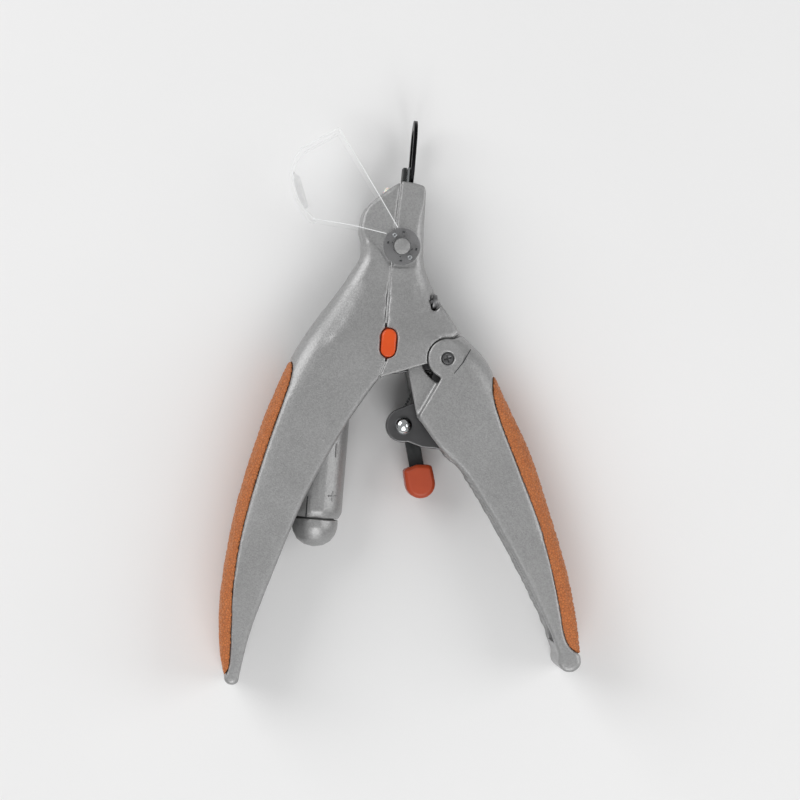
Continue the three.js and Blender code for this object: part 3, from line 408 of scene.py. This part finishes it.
# %% Paper sweep
ROWS = 24
FLAT_SHARE = 0.7  # of the rows, before the paper starts to rise
SWEEP_RADIUS = 1.2
sweep = bmesh.new()
rows = []
for i in range(ROWS + 1):
    t = i / ROWS
    if t < FLAT_SHARE:
        y, z = -3 + 6.5 * t, 0.0
    else:
        angle = (t - FLAT_SHARE) / (1 - FLAT_SHARE) * math.pi / 2
        y, z = 1.55 + SWEEP_RADIUS * math.sin(angle), SWEEP_RADIUS * (1 - math.cos(angle))
    rows.append([sweep.verts.new((x, y, z)) for x in (-3.0, 3.0)])
for lower, upper in zip(rows, rows[1:]):
    sweep.faces.new((lower[0], lower[1], upper[1], upper[0]))
sweep_mesh = bpy.data.meshes.new("paper_sweep")
sweep.to_mesh(sweep_mesh)
sweep.free()
sweep_mesh.materials.append(paper)
sweep_mesh.shade_smooth()
paper_sweep = bpy.data.objects.new("paper_sweep", sweep_mesh)
bpy.context.scene.collection.objects.link(paper_sweep)
print("paper:", len(sweep_mesh.polygons), "faces")

# %% [markdown]
# ## Which finish goes where
# Each piece of the frame keeps the name of its material slot, so the finishes are handed out by slot.
# A small bevel breaks the sharp edges of the turned and stamped pieces, because a real edge always
# catches a thin line of light. The frame's meshes come with their faces cut apart, so they are welded
# first, and edges sharper than 35 degrees are split again for the shading. Clear plastic lets the
# light through, so the hood and its lens throw no shadow.

# %% Finishes by slot
SLOT_FINISH = {
    "silver_plastic": silver_abs, "orange_rubber": rubber, "black_steel": black_oxide,
    "zinc_screw": zinc_plate, "cell_nickel": nickel, "spring_steel": spring_wire,
    "wire_insulation": pvc, "lamp_epoxy": epoxy, "circuit_board": board, "black_plastic": nylon,
    "orange_plastic": orange_abs, "die_cast_zinc": zinc_cast, "rivet_chrome": chrome,
    "blade_steel": blade_steel, "clear_plastic": clear_pc,
}
NODE_SLOT = {
    "left_housing": "silver_plastic", "right_housing": "silver_plastic", "moving_handle": "silver_plastic",
    "battery_tube": "silver_plastic", "battery_cap": "silver_plastic", "hood_pin_front": "silver_plastic",
    "hood_pin_rear": "silver_plastic", "fixed_grip": "orange_rubber", "moving_grip": "orange_rubber",
    "guillotine_ring": "black_steel", "pivot_screw": "black_steel", "contact_plate": "cell_nickel",
    "button_cell_1": "cell_nickel", "button_cell_2": "cell_nickel", "button_cell_3": "cell_nickel",
    "battery_spring": "spring_steel", "return_spring": "spring_steel", "battery_wire": "wire_insulation",
    "lamp_wire": "wire_insulation", "led_lamp": "lamp_epoxy", "switch_board": "circuit_board",
    "light_switch": "black_plastic", "latch_bar": "black_plastic", "blade_carrier": "black_plastic",
    "light_button": "orange_plastic", "latch_cap": "orange_plastic", "drive_lever": "die_cast_zinc",
    "latch_rivet": "rivet_chrome", "cutting_blade": "blade_steel", "magnifier_hood": "clear_plastic",
    "magnifier_lens": "clear_plastic",
}
BROKEN_EDGE = 0.1  # usual width of a bevel, in mm
BEVEL = {
    "magnifier_hood": 0.35, "magnifier_lens": 0.2, "guillotine_ring": 0.12, "light_button": 0.25,
    "cutting_blade": 0.0, "battery_wire": 0.0, "lamp_wire": 0.0, "battery_spring": 0.0,
    "return_spring": 0.0,
}
for name, node in frame["nodes"].items():
    node.data.materials.clear()
    node.data.materials.append(SLOT_FINISH[NODE_SLOT.get(name, "zinc_screw")])
    if "custom_normal" in node.data.attributes:
        node.data.attributes.remove(node.data.attributes["custom_normal"])
    node.data.shade_smooth()
    weld = node.modifiers.new("one_skin", "WELD")
    weld.merge_threshold = 0.002 * MM
    width = BEVEL.get(name, BROKEN_EDGE)
    if width:
        edge = node.modifiers.new("broken_edge", "BEVEL")
        edge.width = width * MM
        edge.segments = 2
        edge.limit_method = "ANGLE"
        edge.angle_limit = math.radians(40)
    crease = node.modifiers.new("creases", "EDGE_SPLIT")
    crease.split_angle = math.radians(35)
frame["nodes"]["latch_cap"].data.materials[0] = latch_abs
for name in ("pivot_screw", "housing_screw_1", "housing_screw_2"):
    frame["nodes"][name].data.materials[0] = zinc_cast
for name in ("magnifier_hood", "magnifier_lens"):
    frame["nodes"][name].visible_shadow = False
print("finished pieces:", len(frame["nodes"]))

# %% [markdown]
# ## Moulded shells
# A mould is cut with round tools and the plastic shrinks as it cools, so no moulded edge is sharp and
# every large side is gently crowned. To give the shells that, each is copied, rebuilt from small
# voxels, and smoothed. Smoothing everything alike would also melt the slots and screw wells, so the
# strong smoothing is held to broad slanting bands, which are the rounded sides: a vertex counts as
# slanting when its normal is neither flat nor upright, and thin bands, which are plain edges, are
# eroded away from the mask. The battery tube, its cap, the lever, the latch's cap and the rivet's
# dome are rebuilt in the same way, to round off the flats of their turned and cast shapes.


# %% Voxel shell with crowned sides
FLAT = 0.985  # upright part of the normal on a flat face
UPRIGHT = 0.1  # and on an upright wall
MOST_TRIANGLES = 190000  # in one piece


# Mean of each vertex's neighbours: the edges run from starts to ends.
def neighbour_mean(values, starts, ends, degree):
    total = np.zeros_like(values)
    for k in range(values.shape[1]):
        total[:, k] = np.bincount(starts, values[ends, k], len(values))
        total[:, k] += np.bincount(ends, values[starts, k], len(values))
    return total / degree[:, None]


# The edges of a mesh as two lists of vertices, and how many edges each vertex has.
def edge_lists(mesh):
    pairs = np.empty(len(mesh.edges) * 2, dtype=np.int64)
    mesh.edges.foreach_get("vertices", pairs)
    starts, ends = pairs.reshape(-1, 2).T
    count = len(mesh.vertices)
    degree = np.maximum(np.bincount(starts, None, count) + np.bincount(ends, None, count), 1)
    return starts, ends, degree


# One value from each vertex, such as its place or its normal.
def per_vertex(mesh, kind):
    values = np.empty(len(mesh.vertices) * 3)
    mesh.vertices.foreach_get(kind, values)
    return values.reshape(-1, 3)


# The object's mesh with its modifiers applied.
def applied(made):
    mesh = bpy.data.meshes.new_from_object(made.evaluated_get(bpy.context.evaluated_depsgraph_get()))
    made.modifiers.clear()
    return mesh


# A smoothed voxel copy of a node, with voxels in mm, that takes the node's place on its body.
def moulded(name, node, voxel, crown_steps, all_steps=3):
    source = frame["nodes"][node]
    made = bpy.data.objects.new(name, source.data.copy())
    bpy.context.scene.collection.objects.link(made)
    rebuild = made.modifiers.new("voxels", "REMESH")
    rebuild.mode = "VOXEL"
    rebuild.voxel_size = voxel * MM
    rebuild.use_smooth_shade = True
    made.data = mesh = applied(made)
    place = per_vertex(mesh, "co")
    starts, ends, degree = edge_lists(mesh)
    tilt = np.abs(per_vertex(mesh, "normal")[:, 2])
    slant = ((tilt > UPRIGHT) & (tilt < FLAT)).astype(float)
    for _ in range(3):
        eroded = slant.copy()
        np.minimum.at(eroded, starts, slant[ends])
        np.minimum.at(eroded, ends, slant[starts])
        slant = eroded
    slant = slant[:, None]
    for _ in range(5):
        slant = np.maximum(slant, neighbour_mean(slant, starts, ends, degree))
    for step in range(crown_steps + all_steps):
        pull = neighbour_mean(place, starts, ends, degree) - place
        share = 0.6 * slant if step < crown_steps else 0.5
        place = place + share * pull
    lowest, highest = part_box(node)
    place = np.clip(place, np.array(lowest), np.array(highest))
    mesh.vertices.foreach_set("co", place.ravel())
    mesh.update()
    triangles = 2 * len(mesh.polygons)
    if triangles > MOST_TRIANGLES:
        fewer = made.modifiers.new("fewer", "DECIMATE")
        fewer.ratio = MOST_TRIANGLES / triangles
        made.data = applied(made)
        made.data.shade_smooth()
    made.data.materials.clear()
    made.data.materials.append(source.data.materials[0])
    bodies = frame["record"]["behaviour"]["bodies"]
    body = next(name for name, members in bodies.items() if node in members)
    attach(made, body)
    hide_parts(node)
    made.data.calc_loop_triangles()
    print(name, "rides on", body, "with", len(made.data.loop_triangles), "triangles")
    return made


moulded("left_shell", "left_housing", 0.45, 40)
moulded("right_shell", "right_housing", 0.4, 40)
moulded("handle_shell", "moving_handle", 0.45, 40)
moulded("lever_casting", "drive_lever", 0.3, 0)
moulded("latch_knob", "latch_cap", 0.25, 0)
moulded("tube_shell", "battery_tube", 0.3, 30)
moulded("cap_shell", "battery_cap", 0.25, 30)
moulded("rivet_dome", "latch_rivet", 0.16, 30)

# %% [markdown]
# ## Pebbled grips
# The rubber is cut with a leather grain: irregular pebbles 1.3 mm wide, with shallow creases between
# them. A bump map alone would leave the outline smooth, so the creases are pressed into the mesh.
# Each vertex moves inwards where it lies near a border between two cells of a Voronoi pattern. The
# side that faces the shell then moves out by the gap between the two, because real rubber is bonded
# to the plastic.


# %% Creases pressed into the rubber
BOND_GAP = 0.3  # gap between the grip and its shell in the frame, in mm
CREASE = 0.5  # how much farther the second nearest cell is where a crease has run out, in cells


# inward is 1 where the shell lies towards +X of the grip and -1 where it lies towards -X.
def pebbled(made, cell, depth, inward):
    mesh = made.data
    place = per_vertex(mesh, "co")
    normal = per_vertex(mesh, "normal")
    sunk = np.empty(len(mesh.vertices))
    for i, vertex in enumerate(place):
        spot = Vector(vertex) / (cell * MM)
        spot = spot + 0.35 * noise.noise_vector(spot * 0.7)
        nearest = noise.voronoi(spot)[0]
        border = min(max((nearest[1] - nearest[0]) / CREASE, 0), 1)
        sunk[i] = 1 - border * border * (3 - 2 * border)
    place = place - normal * (depth * MM * sunk)[:, None]
    facing = (normal[:, 0] * inward > 0.45) & (np.abs(normal[:, 2]) < 0.6)
    place[facing, :2] += normal[facing, :2] * BOND_GAP * MM
    mesh.vertices.foreach_set("co", place.ravel())
    mesh.update()
    print(made.name, "grained with", cell, "mm pebbles,", depth, "mm deep")


fixed_rubber = moulded("fixed_rubber", "fixed_grip", 0.28, 60)
moving_rubber = moulded("moving_rubber", "moving_grip", 0.28, 60)
pebbled(fixed_rubber, 1.3, 0.26, 1)
pebbled(moving_rubber, 1.3, 0.26, -1)

# %% [markdown]
# ## Return spring
# The spring is wound on the latch's rivet, which turns with the moving handle, while the end of its
# upper leg rests in the body. A real spring bends between the two. The wire is copied and rounded by a
# subdivision.

# %% Spring rounded by a subdivision
coil = bpy.data.objects.new("squeeze_spring", frame["nodes"]["return_spring"].data.copy())
bpy.context.scene.collection.objects.link(coil)
rounder = coil.modifiers.new("rounder", "SUBSURF")
rounder.levels = 1
rounder.render_levels = 1
coil.data = applied(coil)
coil.data.shade_smooth()
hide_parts("return_spring")
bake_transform(coil)
print("spring:", len(coil.data.polygons), "faces")


# %% [markdown]
# ## Thin strips that follow a surface
# Polarity signs, small stops, the thin line beside the ear and the edges of the hood are all thin
# strips that follow a surface. Each is a round bead laid half into the surface along a few points. A
# bead swept along a curve is quicker to shape than a boolean cut and keeps the shell untouched.


# %% Beads laid into a surface
def rib(name, points, radius, finish_material, body, closed=False):
    curve = bpy.data.curves.new(name, "CURVE")
    curve.dimensions = "3D"
    curve.bevel_depth = radius * MM
    curve.bevel_resolution = 3
    curve.use_fill_caps = True
    line = curve.splines.new("POLY")
    line.points.add(len(points) - 1)
    for target, place in zip(line.points, points):
        target.co = (*point(*place), 1)
    line.use_cyclic_u = closed
    drawn = bpy.data.objects.new(name + "_line", curve)
    bpy.context.scene.collection.objects.link(drawn)
    mesh = applied(drawn)
    bpy.data.objects.remove(drawn)
    mesh.name = name
    mesh.materials.clear()
    mesh.materials.append(finish_material)
    mesh.shade_smooth()
    made = bpy.data.objects.new(name, mesh)
    bpy.context.scene.collection.objects.link(made)
    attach(made, body)


print("the bead helper is ready")

# %% [markdown]
# ## Marks on the battery tube
# A raised plus and a raised minus sign on the tube tell which way round the cells go in. Beside them
# is the slit that lets the tube's mouth spring open over the cap's catch, drawn as a dark bead sunk
# into the tube: painted shade in the gap.

# %% Marks on the battery tube
TUBE = Vector((-20.5, 12.0))  # axis of the tube in X and Z
TUBE_RADIUS = 8.1


def on_tube(across_tube, y, raised=0.0):
    """A point on the tube, across_tube mm round it from its front line."""
    angle = across_tube / TUBE_RADIUS
    reach = TUBE_RADIUS + raised
    return (TUBE.x + reach * math.sin(angle), y, TUBE.y + reach * math.cos(angle))


MARK_SIDE = 4.8  # the marks stand this far round the tube from its front line
MARKS = {
    "minus_mark": [on_tube(MARK_SIDE, -28.9), on_tube(MARK_SIDE, -33.2)],
    "plus_mark_upright": [on_tube(MARK_SIDE, -43.7), on_tube(MARK_SIDE, -46.7)],
    "plus_mark_crossbar": [on_tube(MARK_SIDE - 1.5 + 0.5 * i, -45.2) for i in range(7)],
}
for name, line in MARKS.items():
    rib(name, line, 0.3, silver_abs, "housing")
# The slit's dark bead is painted shade in the gap.
rib("tube_slit", [on_tube(-3.3, -45.8, -0.12), on_tube(-3.3, -52.2, -0.12)], 0.2, nylon, "housing")
print("tube marks: plus, minus and the slit of the cap's catch")

# %% [markdown]
# ## Hub of the hood
# The hood's hub is a clear disc. Two small stops stand on it for the thumbnail; their bright rims are
# drawn as rings of plated metal, a painted highlight. Four dark beads lie in the dimples that the stops
# click into, painted shade in their hollows, and four smaller dark marks beside them are left where the
# mould's ejector pins and the pins of the click plate show through.

# %% Stops and dimples on the hood's hub
HUB = (-1.1, 33.3)
HUB_FACE = 22.5


def on_hub(degrees, radius, height=0.0):
    angle = math.radians(degrees)
    return (HUB[0] + radius * math.cos(angle), HUB[1] + radius * math.sin(angle), HUB_FACE + height)


# The stops are rings of bright plated metal, a painted highlight of their clear rims.
for number, degrees in enumerate((127.7, 309.7), 1):
    x, y, z = on_hub(degrees, 4.14)
    turns = [math.radians(a) for a in range(0, 360, 24)]
    circle = [(x + 0.5 * math.cos(a), y + 0.5 * math.sin(a), z) for a in turns]
    rib(f"hub_stop_{number}", circle, 0.24, zinc_plate, "hood", closed=True)
for number, degrees in enumerate((87.7, 169.7, 269.7, 352.7), 1):
    dimple = [on_hub(degrees, 4.2, -0.2), on_hub(degrees, 4.7, -0.2)]
    pin_mark = [on_hub(degrees - 6, 3.1, -0.15), on_hub(degrees - 6, 3.3, -0.15)]
    # The dimple beads are dark: painted shade in the hollows under the clear disc.
    rib(f"hub_dimple_{number}", dimple, 0.42, nylon, "hood")
    rib(f"hub_pin_mark_{number}", pin_mark, 0.24, nylon, "hood")
print("hub: two stops and four dimples")

# %% [markdown]
# Under the clear hub lies a grey washer that the hood turns on, and round the hub runs a low rim.
# Both are flat rings with a square section, which four circles of points and the faces between them
# make without any leftover inner faces.

# %% Washer and rim of the hub
AROUND = 64
for name, radii, heights, surface in (
        ("hub_washer", (2.7, 5.7), (20.35, 20.95), shade_abs),
        ("hub_rim", (5.75, 6.1), (21.6, 22.5), clear_pc)):
    ring = bmesh.new()
    loops = []
    for r, h in ((0, 0), (1, 0), (1, 1), (0, 1)):
        places = [on_hub(360 * i / AROUND, radii[r], heights[h] - HUB_FACE) for i in range(AROUND)]
        loops.append([ring.verts.new(point(*place)) for place in places])
    for k in range(4):
        low, high = loops[k], loops[(k + 1) % 4]
        for i in range(AROUND):
            j = (i + 1) % AROUND
            ring.faces.new((low[i], low[j], high[j], high[i]))
    bmesh.ops.recalc_face_normals(ring, faces=ring.faces)
    ring_mesh = bpy.data.meshes.new(name)
    ring.to_mesh(ring_mesh)
    ring.free()
    ring_mesh.materials.append(surface)
    made = bpy.data.objects.new(name, ring_mesh)
    bpy.context.scene.collection.objects.link(made)
    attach(made, "hood")
print("hub: washer and rim")

# %% [markdown]
# The cut edges of clear plastic look white, because light that enters the sheet leaves it there. That
# light is painted: the two straight edges that run to the hub and the round outer edge each get a thin
# white bead, a painted highlight.

# %% Painted highlights on the edges of the hood
# White beads, partly transparent: a painted highlight along the hood's cut edges.
painted_highlight, made = finish(
    "polycarbonate_edge_painted_highlight", ("#f4f6f7", "#ffffff"), 3, (0.25, 0.40), 0.4, 0.02, ior=1.585)
made.shader.inputs["Alpha"].default_value = 0.75
EDGES = {
    "hood_edge_upper": (22.35, 0.14, [(-2.9, 39.0), (-9.9, 49.1), (-23.4, 67.9)]),
    "hood_edge_lower": (22.35, 0.14, [(-6.2, 36.8), (-16.2, 38.4), (-29.2, 39.5)]),
    "hood_edge_outer": (22.3, 0.13, [
        (-23.7, 67.9), (-34.4, 60.7), (-36.2, 57.5), (-36.7, 54), (-35.8, 49.6), (-34.4, 45.8),
        (-32.2, 42.4), (-29.3, 39.5)]),
}
for name, (height, radius, line) in EDGES.items():
    rib(name, [(x, y, height) for x, y in line], radius, painted_highlight, "hood")
print("hood: three frosted edges")

# %% [markdown]
# ## Parting line
# The two shell halves meet in a tongue and groove, so the line between them is a fine dent and not a
# slit that one can look into. The tongue is a thin bead of the same plastic that follows the parting
# line just under both faces, with a break where the light's button comes through.

# %% Tongue along the parting line
SEAM = [(60, -2.6), (53, -2.8), (22, -3.9), (9, -4.1), (-2, -3.2), (-7.3, -4.85)]


# X of the parting line at a height along the body, and height of the front face there.
def seam_x(y):
    return float(np.interp(y, [p[0] for p in SEAM][::-1], [p[1] for p in SEAM][::-1]))


def face_z(y):
    return float(np.interp(y, [4, 22, 26.5, 29.5], [24, 20.8, 20.8, 20.2]))


THICK = 24
TONGUE = {
    "tongue_front_upper": (9.3, 52.6, True),
    "tongue_front_lower": (-7.0, -2.5, True),
    "tongue_rear": (-7.0, 52.6, False),
}
for name, (low, high, front) in TONGUE.items():
    line = []
    for y in np.linspace(low, high, 2 + int(high - low)):
        height = face_z(y) - 0.42
        line.append((seam_x(y), y, height if front else THICK - height))
    rib(name, line, 0.36, silver_abs, "housing")
print("tongue laid behind the parting line")

# %% [markdown]
# ## Line beside the ear
# Where the moving handle's round ear ends, a fine groove sets it off from the grip. It is no wider
# than a scratch, so a dark bead just under the face stands for its bottom, as painted shade in the
# groove.

# %% Line beside the handle's ear
# Painted shade: a dark bead at the bottom of the groove.
rib("ear_groove", [(18.0, -4.4, 23.9), (20.4, -0.9, 23.9), (22.5, 3.4, 23.9)], 0.16, nylon, "handle")
print("ear groove laid")
